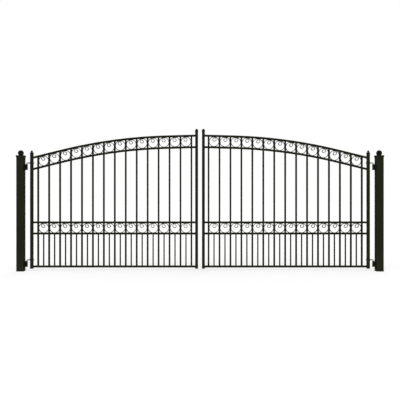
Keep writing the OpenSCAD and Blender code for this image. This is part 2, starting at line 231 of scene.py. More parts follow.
# %% [markdown]
# ## Rubbed edges
# Paint goes first where hands and gear touch it: on sharp corners. Pointiness finds those, and a
# cloud of noise breaks the wear up, so that it comes and goes along an edge.

# %% Rubbed edges
SHARP = (0.53, 0.62)                 # Pointiness where an edge begins, and where it is sharp
WORN_PATCHES = (0.48, 0.68)

rub, takes, gives = new_group("rubbed_edges", {"Patch": 22.0, "Amount": 1.0}, ("Mask",))
place = put(rub, "ShaderNodeTexCoord").outputs["Object"]
corner = spread(rub, put(rub, "ShaderNodeNewGeometry").outputs["Pointiness"], *SHARP)
patches = spread(rub, cloud(rub, place, takes["Patch"], 6.0), *WORN_PATCHES)
rub.links.new(times(rub, times(rub, corner, patches), takes["Amount"]), gives.inputs["Mask"])
print(f"{rub.name}: {len(rub.nodes)} nodes")

# %% [markdown]
# ## Settled dust
# Dust lies on what faces up, and rain splashes it on in a band that fades above the ground. The
# height and the way a face looks give the two places, and noise makes the grain.

# %% Settled dust
DUSTY_PATCHES = (0.35, 0.75)
SHELF = {"From Min": 0.6, "From Max": 1.0, "To Max": 0.7}     # how level a face is, and its share of dust

dust, takes, gives = new_group("settled_dust", {"Band": 0.35, "Grain": 60.0, "Amount": 1.0}, ("Mask",))
coords = put(dust, "ShaderNodeTexCoord").outputs
height = put(dust, "ShaderNodeSeparateXYZ", {0: coords["Object"]}).outputs["Z"]
facing = put(dust, "ShaderNodeSeparateXYZ", {0: coords["Normal"]}).outputs["Z"]
band = spread(dust, height, takes["Band"], 0.0)
shelf = put(dust, "ShaderNodeMapRange", {"Value": facing, **SHELF}).outputs[0]
lies = put(dust, "ShaderNodeMath", {0: band, 1: shelf}, operation="MAXIMUM").outputs[0]
grain = spread(dust, cloud(dust, coords["Object"], takes["Grain"], 6.0), *DUSTY_PATCHES)
dust.links.new(times(dust, times(dust, lies, grain), takes["Amount"]), gives.inputs["Mask"])
print(f"{dust.name}: {len(dust.nodes)} nodes")

# %% [markdown]
# ## The black paint's colours
# In the photograph the paint is nearly black with an olive cast, and satin rather than shiny. Four
# colours make it up: fresh paint, weathered paint, the primer under it and the dust on it. The
# helpers blend two colours by a mask, put an effect's group into a material, and lighten a colour
# by a factor, which paints light into the colour.

# %% Colours and mixing
OLIVE_BLACK = (0.0092, 0.0102, 0.0052, 1)
WORN_BLACK = (0.0116, 0.0126, 0.0070, 1)
PRIMER_GREY = (0.085, 0.083, 0.072, 1)
DUST_COLOUR = (0.115, 0.105, 0.085, 1)


def blend(tree, mask, under, over):
    made = put(tree, "ShaderNodeMix", {0: mask, 6: under, 7: over}, data_type="RGBA")
    return made.outputs[2]


def use(tree, group, **values):
    made = put(tree, "ShaderNodeGroup", node_tree=group)
    for socket, value in values.items():
        made.inputs[socket].default_value = value
    return made.outputs


# Painted light: lightens the black paint by a factor, standing in for the light that falls on a piece.
def lit_by_paint(colour, painted_light):
    return tuple(channel * painted_light for channel in colour[:3]) + (1,)


print("colours: olive black, worn black, primer grey and dust")

# %% [markdown]
# ## A coat for each kind of piece
# One function makes the paint, and each kind of piece gets its own coat: drawn tube is smooth,
# cast and pressed caps are coarser, forged scrolls show the hammer, and welds are lumpy. Posts,
# tubes and caps are a shade lighter than the rest, which the first number of each coat gives: that
# is painted light, the same black made lighter for the light their faces catch, most on the caps.

# %% Black paint
PAINT_SPECULAR = 0.014
PAINT_DUST = 0.1
PEEL_DEPTH = 0.0006


def black_paint(name, painted_light, peel, bump, gloss, rubbed):
    finish = bpy.data.materials.new(name)
    finish.use_nodes = True
    tree = finish.node_tree
    tree.nodes.clear()
    coat = use(tree, skin, Peel=peel)
    edges = use(tree, rub, Amount=rubbed)
    dirt = use(tree, dust, Amount=PAINT_DUST)
    # Painted light: the coat's first number lightens the fresh and weathered black.
    colour = blend(tree, coat["Colour Drift"], lit_by_paint(OLIVE_BLACK, painted_light), lit_by_paint(WORN_BLACK, painted_light))
    colour = blend(tree, edges["Mask"], colour, PRIMER_GREY)
    colour = blend(tree, dirt["Mask"], colour, DUST_COLOUR)
    rough = put(tree, "ShaderNodeMapRange", {"Value": coat["Gloss Drift"], "To Min": gloss[0], "To Max": gloss[1]})
    dulled = put(tree, "ShaderNodeMath", {0: rough.outputs[0], 1: dirt["Mask"]}, operation="MAXIMUM")
    relief = put(tree, "ShaderNodeBump", {"Height": coat["Peel Height"], "Strength": bump, "Distance": PEEL_DEPTH})
    shell = put(tree, "ShaderNodeBsdfPrincipled", {
        "Base Color": colour, "Roughness": dulled.outputs[0], "Normal": relief.outputs[0],
        "Specular IOR Level": PAINT_SPECULAR})
    put(tree, "ShaderNodeOutputMaterial", {"Surface": shell.outputs[0]})
    return finish


# The first numbers below are painted light: posts, tubes and caps are lighter copies of the same black paint, for
# the light their faces catch, most on the caps.
post_paint = black_paint("post_paint", 1.42, peel=340, bump=0.25, gloss=(0.58, 0.68), rubbed=0)
tube_paint = black_paint("tube_paint", 1.27, peel=480, bump=0.22, gloss=(0.56, 0.66), rubbed=0)
cap_paint = black_paint("cap_paint", 1.6, peel=210, bump=0.4, gloss=(0.54, 0.66), rubbed=0.25)
cast_paint = black_paint("cast_paint", 1.0, peel=210, bump=0.45, gloss=(0.54, 0.66), rubbed=0.25)
scroll_paint = black_paint("scroll_paint", 1.0, peel=160, bump=0.4, gloss=(0.54, 0.66), rubbed=0.25)
weld_paint = black_paint("weld_paint", 1.0, peel=620, bump=0.6, gloss=(0.54, 0.66), rubbed=0.2)
print("paints: post, tube, cap, cast, scroll and weld")

# %% [markdown]
# ## The zinc on the hinge bolts
# The J-bolts and their nuts are left unpainted. Zinc plate dulls to a warm mid grey with small
# cloudy spots, so the metal's roughness and colour drift over a few millimetres.

# %% Zinc
ZINC_BRIGHT = (0.25, 0.255, 0.218, 1)
ZINC_DULL = (0.14, 0.142, 0.117, 1)
ZINC_ROUGH = {"To Min": 0.34, "To Max": 0.56}
ZINC_RELIEF = {"Strength": 0.2, "Distance": 0.0003}
ZINC_METALLIC = 0.9

zinc = bpy.data.materials.new("dull_zinc")
zinc.use_nodes = True
tree = zinc.node_tree
tree.nodes.clear()
plate = use(tree, skin, Peel=900.0, Drift=140.0, Gloss=320.0)
grime = use(tree, dust, Amount=0.4, Grain=220.0)
colour = blend(tree, plate["Colour Drift"], ZINC_BRIGHT, ZINC_DULL)
colour = blend(tree, grime["Mask"], colour, DUST_COLOUR)
rough = put(tree, "ShaderNodeMapRange", {"Value": plate["Gloss Drift"], **ZINC_ROUGH})
relief = put(tree, "ShaderNodeBump", {"Height": plate["Peel Height"], **ZINC_RELIEF})
shell = put(tree, "ShaderNodeBsdfPrincipled", {
    "Base Color": colour, "Roughness": rough.outputs[0], "Normal": relief.outputs[0],
    "Metallic": ZINC_METALLIC})
put(tree, "ShaderNodeOutputMaterial", {"Surface": shell.outputs[0]})
print("zinc: dull plate for bolts and nuts")

# %% [markdown]
# ## Tools for the bench
# Every piece is made with the same few moves: select one object, go into edit mode, merge the
# loose triangles of a CAD copy, apply a modifier, shade it smooth, and hang the finished piece on
# its body. Each move is a short function, so that the steps below stay clear.

# %% Bench tools
SIDES = ("left", "right")
MERGE = 0.00002                      # points closer than this become one
CUT = 0.000001                       # how close to its plane Bisect counts a point as on it
FLAT = math.radians(0.05)            # faces that differ by less make one flat


def only(piece):
    bpy.ops.object.select_all(action="DESELECT")
    piece.select_set(True)
    bpy.context.view_layer.objects.active = piece


def edit_all(piece):
    """Goes into edit mode with the whole of one piece selected."""
    only(piece)
    bpy.ops.object.mode_set(mode="EDIT")
    bpy.ops.mesh.select_all(action="SELECT")


def leave_edit():
    bpy.ops.object.mode_set(mode="OBJECT")


def merge_doubles(piece):
    edit_all(piece)
    bpy.ops.mesh.remove_doubles(threshold=MERGE)
    leave_edit()


def cad_copy(node, name, line=0):
    """A copy of a CAD node with its triangles merged and flat faces made whole again.

    Where line is given, the flats keep an edge that far in front of the middle and behind it."""
    piece = bpy.data.objects.new(name, nodes[node].data.copy())
    piece.data.name = name
    piece.data.materials.clear()
    bpy.context.collection.objects.link(piece)
    only(piece)
    bpy.ops.mesh.customdata_custom_splitnormals_clear()
    merge_doubles(piece)
    edit_all(piece)
    for y in (-line, line) if line else ():
        bpy.ops.mesh.select_all(action="SELECT")
        bpy.ops.mesh.bisect(plane_co=(0, y, 0), plane_no=(0, 1, 0), threshold=CUT)
        bpy.ops.mesh.mark_seam()
    bpy.ops.mesh.select_all(action="SELECT")
    bpy.ops.mesh.dissolve_limited(angle_limit=FLAT, delimit={"SEAM"})
    bpy.ops.mesh.mark_seam(clear=True)
    leave_edit()
    return piece


def apply_modifier(piece, kind, **settings):
    only(piece)
    modifier = piece.modifiers.new(kind.lower(), kind)
    for name, value in settings.items():
        setattr(modifier, name, value)
    bpy.ops.object.modifier_apply(modifier=modifier.name)


def smooth(piece, angle, weighted=False):
    only(piece)
    bpy.ops.object.shade_smooth_by_angle(angle=math.radians(angle))
    if weighted:
        apply_modifier(piece, "WEIGHTED_NORMAL", keep_sharp=True)


def hang(piece, body, finish, stands_for=()):
    """Paints a finished piece, puts it on its body and hides the CAD nodes it stands for."""
    piece.data.materials.clear()
    piece.data.materials.append(finish)
    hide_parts(*stands_for)
    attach(piece, body)


print("bench tools ready")

# %% [markdown]
# ## Paint the tubes that the CAD model already has right
# Posts, stiles and pickets are drawn tube with rounded corners, and the balls are turned round:
# the CAD meshes show all of that. They stay as they are and only get their coats.

# %% Painted CAD nodes
COATS = {
    "post": post_paint, "post_ball": cast_paint, "hinge_stile": tube_paint, "meeting_stile": tube_paint,
    "pickets": tube_paint, "short_pickets": tube_paint,
}
for side in SIDES:
    for node, coat in COATS.items():
        nodes[f"{side}_{node}"].material_slots[0].material = coat
print("painted:", len(SIDES) * len(COATS), "CAD nodes")

# %% [markdown]
# ## Rails with rolled corners
# Real square tube has no sharp corners: they are rolled to a small radius. A rail could be drawn
# again from a cube, but the arched rails and the punched holes are already exact in the CAD copy.
# So the copy keeps its shape, and only the four long outer edges are picked and bevelled. A bevel
# follows the edges that meet its ends, so a line is first cut beside each long edge, which leaves
# a plain strip there without the edges that run from hole to hole.

# %% Rails
RAILS = ("top_rail", "band_rail", "upper_mid_rail", "lower_mid_rail", "bottom_rail")
RAIL_CORNER = 0.0012
STRIP = RAIL_CORNER * 1.1            # a little wider than the bevel
TUBE_SMOOTH = 30                     # degrees up to which faces are shaded as one


def pick_edges(piece, wanted):
    """Goes into edit mode with those edges selected whose two ends are wanted; wanted gets both points."""
    edit_all(piece)
    bpy.ops.mesh.select_mode(type="EDGE")
    bpy.ops.mesh.select_all(action="DESELECT")
    leave_edit()
    points = piece.data.vertices
    count = 0
    for edge in piece.data.edges:
        edge.select = wanted(points[edge.vertices[0]].co, points[edge.vertices[1]].co)
        count += edge.select
    bpy.ops.object.mode_set(mode="EDIT")
    return count


def rolled_rail(node):
    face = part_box(node)[1].y
    rail = cad_copy(node, node.replace("_rail", "_rail_tube"), line=face - STRIP)

    def long_edge(a, b):
        on_face = abs(abs(a.y) - face) < MERGE and abs(a.y - b.y) < MERGE
        return on_face and abs(a.x - b.x) > MERGE

    count = pick_edges(rail, long_edge)
    bpy.ops.mesh.bevel(offset=RAIL_CORNER, segments=3, profile=0.5, affect="EDGES")
    leave_edit()
    smooth(rail, TUBE_SMOOTH, weighted=True)
    return rail, count


for side in SIDES:
    for node in RAILS:
        rail, count = rolled_rail(f"{side}_{node}")
        hang(rail, f"{side}_leaf", tube_paint, stands_for=[f"{side}_{node}"])
        print(f"{rail.name}: {count} long edges rolled, {len(rail.data.polygons)} faces")

# %% [markdown]
# ## Scrolls: the ring
# Each bay of the two bands holds a ring of thick bar. A smith bends bar round a former, and Spin
# does the same: it takes the bar's section round a centre. The section is a plane with eased
# corners, and the ring is one full turn of it, so the section's own face is taken out.

# %% Bent ring
RING_INSIDE = 0.1254
RING_BAR = 0.008                     # thickness of the ring's bar
BAR_DEPTH = 0.016
BAR_CORNER = 0.0014
RING_STEPS = 72
ANTICLOCKWISE = (0, 1, 0)            # Spin's axis for that turn, seen from the front


def bar_section(at, thick, upright):
    """The flat bar's section with eased corners, selected in edit mode."""
    bpy.ops.mesh.primitive_plane_add(size=1, location=at, rotation=(0, math.pi / 2 if upright else 0, 0))
    bar = bpy.context.object
    bar.scale = (thick, BAR_DEPTH, 1)
    bpy.ops.object.transform_apply(location=True, rotation=True, scale=True)
    edit_all(bar)
    bpy.ops.mesh.bevel(offset=BAR_CORNER, segments=2, affect="VERTICES")
    bpy.ops.mesh.select_all(action="SELECT")
    return bar


ring = bar_section((RING_INSIDE / 2 + RING_BAR / 2, 0, 0), RING_BAR, upright=False)
bpy.ops.mesh.delete(type="ONLY_FACE")
bpy.ops.mesh.select_all(action="SELECT")
bpy.ops.mesh.spin(steps=RING_STEPS, angle=2 * math.pi, center=(0, 0, 0), axis=ANTICLOCKWISE)
leave_edit()
merge_doubles(ring)
print(f"ring: {ring.dimensions.x * 1000:.1f} mm across, {len(ring.data.polygons)} faces")

# %% [markdown]
# ## Scrolls: the curl
# From the ring's top a second bar leaves towards the hinge and curls up in the middle. It starts
# at its free end and takes three turns, each round its own centre. Its last end is scarfed, drawn
# out thin along the ring, by short extrusions that are scaled towards the ring. Ring and curl are
# then one pattern for every bay.

# %% Bent curl
CURL_BAR = 0.008
CURL_RADII = (0.0185, 0.020, 0.027)  # free end, foot, and where it leaves the ring
CURL_SHIFT = 0.0025                  # the curl's centre, towards the hinge
CURL_WELD = 0.0008                   # how far the curl is let into the ring
CURL_LEAD = 12                       # degrees that the curl runs on along the ring
CURL_TAIL = 25                       # degrees that the free end bends over
CURL_STEPS = (14, 12, 28)
SCARF = ((3.5, 0.86), (7, 0.62), (10.5, 0.36), (14, 0.1))    # degrees past the end, and thickness left
SCROLL_SMOOTH = 40


def push(x=0.0, z=0.0):
    bpy.ops.mesh.extrude_region_move(TRANSFORM_OT_translate={"value": (x, 0, z)})


def outward(piece):
    edit_all(piece)
    bpy.ops.mesh.normals_make_consistent(inside=False)
    leave_edit()


def joined(parts, name):
    bpy.ops.object.select_all(action="DESELECT")
    for part in parts:
        part.select_set(True)
    bpy.context.view_layer.objects.active = parts[0]
    bpy.ops.object.join()
    parts[0].name = parts[0].data.name = name
    return parts[0]


end, foot, start = CURL_RADII
centre_reach = RING_INSIDE / 2 + CURL_WELD - CURL_BAR / 2 - start
start_z = math.sqrt(centre_reach ** 2 - CURL_SHIFT ** 2)
foot_z = start_z - start + foot
centres = ((CURL_SHIFT - foot + end, foot_z), (CURL_SHIFT, foot_z), (CURL_SHIFT, start_z))
curl_turns = (90 + CURL_TAIL, 90, 180 + CURL_LEAD)
curl = bar_section((centres[0][0], 0, foot_z + end), CURL_BAR, upright=True)
bpy.ops.transform.rotate(value=math.radians(-CURL_TAIL), orient_axis="Y", orient_type="GLOBAL",
                         center_override=(centres[0][0], 0, foot_z))
for (x, z), turn, steps in zip(centres, curl_turns, CURL_STEPS):
    bpy.ops.mesh.spin(steps=steps, angle=math.radians(turn), center=(x, 0, z), axis=ANTICLOCKWISE)

lead, outside = math.radians(90 + CURL_LEAD), start + CURL_BAR / 2
edge = Vector((CURL_SHIFT + outside * math.cos(lead), 0, start_z + outside * math.sin(lead)))
edge_reach, edge_angle, thick_left = edge.length, math.atan2(edge.z, edge.x), 1.0
for turn, thickness in SCARF:
    there = Matrix.Rotation(-edge_angle - math.radians(turn), 3, "Y") @ Vector((edge_reach, 0, 0))
    push(there.x - edge.x, there.z - edge.z)
    bpy.ops.transform.resize(value=(thickness / thick_left, 1, thickness / thick_left), center_override=there)
    edge, thick_left = there, thickness
leave_edit()
merge_doubles(curl)
scroll = joined([ring, curl], "scroll_pattern")
outward(scroll)
smooth(scroll, SCROLL_SMOOTH)
print(f"scroll: {scroll.dimensions.x * 1000:.1f} mm across, {len(scroll.data.polygons)} faces")

# %% [markdown]
# ## Copies and measures
# The bays differ in height and place, and the CAD model knows them all. These helpers copy a
# pattern to its place, throw a pattern away after use, and measure the solids of a CAD node: a
# merged copy of the node falls apart into its loose pieces, and each piece has a box.

# %% Copies and measures
def placed(shape, where, name):
    """A copy of a shape with its own mesh, moved to its place."""
    copy = bpy.data.objects.new(name, shape.data.copy())
    copy.data.transform(where)
    bpy.context.collection.objects.link(copy)
    return copy


def scrap(*shapes):
    for shape in shapes:
        mesh = shape.data
        bpy.data.objects.remove(shape)
        bpy.data.meshes.remove(mesh)


def solids_of(node):
    """Lowest and highest corner of each separate solid in a CAD node, from left to right and low to high."""
    edit_all(cad_copy(node, "measuring_copy"))
    bpy.ops.mesh.separate(type="LOOSE")
    leave_edit()
    parts = list(bpy.context.selected_objects)
    boxes = []
    for part in parts:
        points = [v.co for v in part.data.vertices]
        boxes.append((Vector(map(min, *points)), Vector(map(max, *points))))
    scrap(*parts)
    return sorted(boxes, key=lambda box: (round(box[0].x, 3), box[0].z))


bay_boxes = {f"{side}_{band}_rings": solids_of(f"{side}_{band}_rings") for side in SIDES for band in ("arch", "mid")}
print("bays:", {node: len(boxes) for node, boxes in bay_boxes.items()})

# %% [markdown]
# ## Scrolls in their bays
# A ring is a little wider than its bay, so the maker grinds four flats on it, where it meets the
# pickets and the rails. Bisect grinds them here: it cuts at a plane, drops what is outside and
# closes the cut. The planes come from the CAD model: each loose solid of a ring node has a box,
# whose sides are the pickets' faces and whose middle is the ring's centre. The rails' slope is
# the slope from one ring to the next, and the solid's reach square to that slope gives the rails'
# faces. The left leaf needs its curls the other way round, so the pattern is mirrored once, and
# its faces are turned outwards again.

# %% Scrolls in the bays
def ground_flat(ring, point, facing):
    edit_all(ring)
    bpy.ops.mesh.bisect(plane_co=point, plane_no=facing, use_fill=True, clear_outer=True, threshold=CUT)
    leave_edit()


def lean_at(boxes, i):
    """Slope of the band at one ring, as the unit vector square to its rails."""
    before, after = boxes[max(i - 1, 0)], boxes[min(i + 1, len(boxes) - 1)]
    run_x, run_z = after[0].x - before[0].x, after[0].z + after[1].z - before[0].z - before[1].z
    return Vector((-run_z / 2, 0, run_x)).normalized()


mirrored_scroll = placed(scroll, Matrix.Scale(-1, 4, (1, 0, 0)), "mirrored_scroll_pattern")
outward(mirrored_scroll)
ring_bays = {}                       # each ring's centre, half width, half height and the way square to its rails
for node, boxes in bay_boxes.items():
    side = node.split("_")[0]
    pattern = mirrored_scroll if side == "left" else scroll
    ring_bays[node] = []
    copies = []
    for i, (low, high) in enumerate(boxes):
        centre, half_width = (low + high) / 2, (high.x - low.x) / 2
        square = lean_at(boxes, i)
        half_height = max((v.co - centre).dot(square) for v in nodes[node].data.vertices
                          if low.x - MERGE < v.co.x < high.x + MERGE)
        ring_bays[node].append((centre, half_width, half_height, square))
        ring = placed(pattern, Matrix.Translation(centre), f"{node}_{i}")
        for facing, reach in ((Vector((1, 0, 0)), half_width), (square, half_height)):
            ground_flat(ring, centre + facing * reach, facing)
            ground_flat(ring, centre - facing * reach, -facing)
        copies.append(ring)
    scrolls = joined(copies, node.replace("rings", "scrolls"))
    smooth(scrolls, SCROLL_SMOOTH)
    hang(scrolls, f"{side}_leaf", scroll_paint, stands_for=[node])
    print(f"{scrolls.name}: {len(boxes)} scrolls, {len(scrolls.data.polygons)} faces")
scrap(scroll, mirrored_scroll)

# %% [markdown]
# ## Post caps, stile caps and points
# The caps are pressed or cast, so no edge on them is sharp. Their outlines are right in the CAD
# copy, and one Bevel modifier eases every edge sharper than a set angle. The small angle
# between the facets of the balls stays below that limit, so they are left alone.

# %% Eased caps
CAPS = {                             # ease of the edges in metres, and the coat
    "post_cap": (0.0016, cap_paint),
    "hinge_stile_cap": (0.0008, cap_paint),
    "meeting_stile_point": (0.0008, cast_paint),
}
SHARP_EDGE = math.radians(38)        # edges that turn less are left alone


def eased_copy(node, name, radius):
    piece = cad_copy(node, name)
    apply_modifier(piece, "BEVEL", width=radius, segments=3, limit_method="ANGLE", angle_limit=SHARP_EDGE,
                   use_clamp_overlap=True)
    smooth(piece, TUBE_SMOOTH, weighted=True)
    return piece


for side in SIDES:
    for node, (radius, coat) in CAPS.items():
        cap = eased_copy(f"{side}_{node}", f"{side}_{node}_eased", radius)
        hang(cap, "posts" if node == "post_cap" else f"{side}_leaf", coat, stands_for=[f"{side}_{node}"])
        print(f"{cap.name}: {len(cap.data.polygons)} faces")

# %% [markdown]
# ## The collar under each ball
# The ball is welded to its cap, and the weld is dressed to a small round collar. It is one circle
# of weld spun round the ball's axis, sitting in the corner between the ball and the cap.

# %% Ball collars
COLLAR_RADIUS = 0.0028
COLLAR_SIDES, COLLAR_STEPS = 10, 40
COLLAR_OUT, COLLAR_UP = 0.5, 0.6     # its middle, in radii, out from the ball's foot and up from the cap
BALL_FOOT = 0.023                    # radius of the ball's flat foot

for side in SIDES:
    low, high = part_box(f"{side}_post_ball")
    axis = (low + high) / 2
    bpy.ops.mesh.primitive_circle_add(
        vertices=COLLAR_SIDES, radius=COLLAR_RADIUS, rotation=(math.pi / 2, 0, 0),
        location=(axis.x + BALL_FOOT + COLLAR_RADIUS * COLLAR_OUT, 0, low.z + COLLAR_RADIUS * COLLAR_UP))
    collar = bpy.context.object
    bpy.ops.object.transform_apply(location=True, rotation=True, scale=True)
    edit_all(collar)
    bpy.ops.mesh.spin(steps=COLLAR_STEPS, angle=2 * math.pi, center=(axis.x, 0, low.z), axis=(0, 0, 1))
    leave_edit()
    merge_doubles(collar)
    outward(collar)
    smooth(collar, 60)
    collar.name = collar.data.name = f"{side}_ball_collar"
    hang(collar, "posts", cast_paint)
    print(f"{collar.name}: {collar.dimensions.x * 1000:.1f} mm across")

# %% [markdown]
# ## Hinge barrels
# Each barrel is a short length of thick tube on a web and a plate, welded to the post. The saw
# leaves its ends sharp and a file eases them, which the same Bevel modifier does.

# %% Hinge barrels
BARREL_EASE = 0.0009
HINGES = ("upper", "lower")

for side in SIDES:
    for level in HINGES:
        node = f"{side}_{level}_hinge_barrel"
        barrel = eased_copy(node, f"{node}_eased", BARREL_EASE)
        hang(barrel, "posts", cast_paint, stands_for=[node])
        print(f"{barrel.name}: {len(barrel.data.polygons)} faces")

# %% [markdown]
# ## J-bolts with a real thread
# A J-bolt is a round bar bent square: the short leg is the hinge pin, and the long one carries
# the thread that sets the gate straight. The bar is a circle that is extruded, spun round the
# bend and extruded again. The thread could be a bump, but its outline shows against the light,
# so one tooth is drawn and the Screw modifier winds it along the bar.

# %% J-bolt bar
BOLT_BEND = 0.018
BOLT_SIDES = 28
BEND_STEPS = 14
PIN_EASE = 0.0012
SMOOTH_ARM = 0.007                   # plain bar between the bend and the thread


def rescale(factor, centre):
    bpy.ops.transform.resize(value=(factor,) * 3, center_override=centre)


low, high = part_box("right_lower_j_bolt")
bolt_radius = (high.y - low.y) / 2
pin_foot = -(high.z - bolt_radius - low.z)           # from the arm's axis down
arm_end = -(high.x - bolt_radius - low.x)            # from the pin's axis along the arm

bpy.ops.mesh.primitive_circle_add(vertices=BOLT_SIDES, radius=bolt_radius - PIN_EASE, fill_type="NGON",
                                  location=(0, 0, pin_foot))
j_bolt = bpy.context.object
bpy.ops.object.transform_apply(location=True, rotation=True, scale=True)
edit_all(j_bolt)
push(z=PIN_EASE)
rescale(bolt_radius / (bolt_radius - PIN_EASE), (0, 0, pin_foot + PIN_EASE))
push(z=-BOLT_BEND - pin_foot - PIN_EASE)
bpy.ops.mesh.spin(steps=BEND_STEPS, angle=math.pi / 2, center=(-BOLT_BEND, 0, -BOLT_BEND), axis=ANTICLOCKWISE)
push(x=-SMOOTH_ARM)
leave_edit()
merge_doubles(j_bolt)
outward(j_bolt)
print(f"J-bolt bar: {j_bolt.dimensions.z * 1000:.1f} mm high, arm to {arm_end * 1000:.1f} mm")

# %% [markdown]
# ## The thread
# One tooth is a chain of four edges: root, flank, crest and flank. The modifier turns it once for
# every step of the pitch, with a few turns to spare, and Bisect cuts both ends square and closes
# them.

# %% Thread
PITCH = 0.002
ROOT = bolt_radius - 0.0012
CREST = bolt_radius - 0.0001
TOOTH = ((0.2, ROOT), (0.5, CREST), (0.7, CREST), (1.0, ROOT))      # along one pitch, and out from the axis
THREAD_STEPS = 24
SPARE_TURNS = 4
THREAD_LAP = 0.0008                  # how far the thread starts inside the plain bar

thread_start = -BOLT_BEND - SMOOTH_ARM + THREAD_LAP
turns = math.ceil((thread_start - arm_end) / PITCH) + SPARE_TURNS
bpy.ops.mesh.primitive_plane_add(size=PITCH)
thread = bpy.context.object
bpy.ops.object.mode_set(mode="EDIT")
bpy.ops.mesh.select_mode(type="VERT")
bpy.ops.mesh.select_all(action="SELECT")
bpy.ops.mesh.merge(type="CENTER")
bpy.ops.transform.translate(value=(arm_end - SPARE_TURNS / 2 * PITCH, 0, ROOT))
here = Vector((0, 0, ROOT))
for along, out in TOOTH:
    there = Vector((along * PITCH, 0, out))
    bpy.ops.mesh.extrude_region_move(TRANSFORM_OT_translate={"value": there - here})
    here = there
leave_edit()
apply_modifier(thread, "SCREW", axis="X", angle=2 * math.pi, screw_offset=PITCH, iterations=turns,
               steps=THREAD_STEPS, render_steps=THREAD_STEPS, use_merge_vertices=True, merge_threshold=MERGE)
merge_doubles(thread)
for x, keep_above in ((arm_end, True), (thread_start, False)):
    edit_all(thread)
    bpy.ops.mesh.bisect(plane_co=(x, 0, 0), plane_no=(1, 0, 0), use_fill=True, threshold=CUT,
                        clear_inner=keep_above, clear_outer=not keep_above)
    leave_edit()
outward(thread)
print(f"thread: {turns} turns of {PITCH * 1000:.0f} mm, {len(thread.data.polygons)} faces")

# %% [markdown]
# ## The thread's end
# A die leaves the first turn without its sharp edge. The die here is a blunt cone, and a Boolean
# keeps what lies inside it. Cones, nuts and weld beads are all turned shapes: a circle that is
# pushed along its axis and scaled at each step, so one helper serves them all.

# %% Thread's end
END_CHAMFER = 0.0014
DIE_SIDES = 48
DIE_RADIUS = bolt_radius * 1.02


def turned(profile, sides, name):
    """A solid turned round X: profile is a list of places along X and radii."""
    (x, radius), *rest = profile
    bpy.ops.mesh.primitive_circle_add(vertices=sides, radius=radius, fill_type="NGON",
                                      location=(x, 0, 0), rotation=(0, math.pi / 2, 0))
    blank = bpy.context.object
    blank.name = name
    bpy.ops.object.transform_apply(location=True, rotation=True, scale=True)
    edit_all(blank)
    for next_x, next_radius in rest:
        push(x=next_x - x)
        rescale(next_radius / radius, (next_x, 0, 0))
        x, radius = next_x, next_radius
    leave_edit()
    outward(blank)
    return blank


die_end = arm_end - MERGE            # just outside, so that the bolt's end face stays whole
die = turned([(die_end, bolt_radius - END_CHAMFER), (die_end + END_CHAMFER, DIE_RADIUS),
              (thread_start + END_CHAMFER, DIE_RADIUS)], DIE_SIDES, "die")
apply_modifier(thread, "BOOLEAN", object=die, operation="INTERSECT", solver="EXACT")
scrap(die)
j_bolt = joined([j_bolt, thread], "j_bolt_pattern")
smooth(j_bolt, 32)
print(f"J-bolt: {len(j_bolt.data.polygons)} faces with its thread")

# %% [markdown]
# ## Bolts in their places
# The pattern's pin stands on the origin and its arm points left, as on the right leaf. For the
# left leaf it is turned half round the upright axis. A mirror would make a left-hand thread.

# %% Bolts in place
for side in SIDES:
    for level in HINGES:
        node = f"{side}_{level}_j_bolt"
        low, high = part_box(node)
        pin_x = high.x - bolt_radius if side == "right" else low.x + bolt_radius
        where = Matrix.Translation((pin_x, 0, high.z - bolt_radius))
        if side == "left":
            where = where @ Matrix.Rotation(math.pi, 4, "Z")
        bolt = placed(j_bolt, where, f"{node}_threaded")
        bolt.data.name = bolt.name
        hang(bolt, f"{side}_leaf", zinc, stands_for=[node])
        print(f"{bolt.name}: pin at x {pin_x:.3f} m")
scrap(j_bolt)

# %% [markdown]
# ## Hinge nuts
# A nut starts as a turned blank with its rims cut back at thirty degrees. Cutting the hexagon out
# of it leaves the curved edges that every real nut has. A second Boolean takes out the bore, which
# flares at both faces to let the bolt in.

# %% One nut
nut_boxes = {side: solids_of(f"{side}_hinge_nuts") for side in SIDES}
low, high = nut_boxes["right"][0]
nut_height = high.x - low.x
flat_radius = (high.y - low.y) / 2
corner_radius = flat_radius / math.cos(math.pi / 6)
FACE_RADIUS = flat_radius * 1.01
RIM_CUT = 0.0010                     # how far down the rims are cut back
BORE_RADIUS = bolt_radius + 0.0001
FLARE_RADIUS = bolt_radius + 0.0009
FLARE = 0.0009                       # depth of the flare
NUT_EDGE = 0.0002
BLANK_SIDES, BORE_SIDES = 60, 40

half = nut_height / 2
past = half * 1.2                    # the cutters reach past the nut's faces
nut = turned([(-half, FACE_RADIUS), (-half + RIM_CUT, corner_radius), (half - RIM_CUT, corner_radius),
              (half, FACE_RADIUS)], BLANK_SIDES, "nut_pattern")
hexagon = turned([(-past, corner_radius), (past, corner_radius)], 6, "hexagon")
hexagon.data.transform(Matrix.Rotation(math.radians(30), 4, "X"))
drill = turned([(-past, FLARE_RADIUS), (-half, FLARE_RADIUS), (-half + FLARE, BORE_RADIUS),
                (half - FLARE, BORE_RADIUS), (half, FLARE_RADIUS), (past, FLARE_RADIUS)], BORE_SIDES, "drill")
apply_modifier(nut, "BOOLEAN", object=hexagon, operation="INTERSECT", solver="EXACT")
apply_modifier(nut, "BOOLEAN", object=drill, operation="DIFFERENCE", solver="EXACT")
scrap(hexagon, drill)
merge_doubles(nut)
apply_modifier(nut, "BEVEL", width=NUT_EDGE, segments=2, limit_method="ANGLE", angle_limit=math.radians(25),
               use_clamp_overlap=False)
smooth(nut, 24)
print(f"nut: {nut.dimensions.y * 1000:.1f} mm across flats, {len(nut.data.polygons)} faces")

# %% [markdown]
# ## Nuts in their places
# Each bolt carries two nuts, one on each side of the hinge stile, so that the leaf can be set
# straight along the thread. The boxes of the CAD nuts give their middles, and the four copies on
# a leaf are joined into one piece.

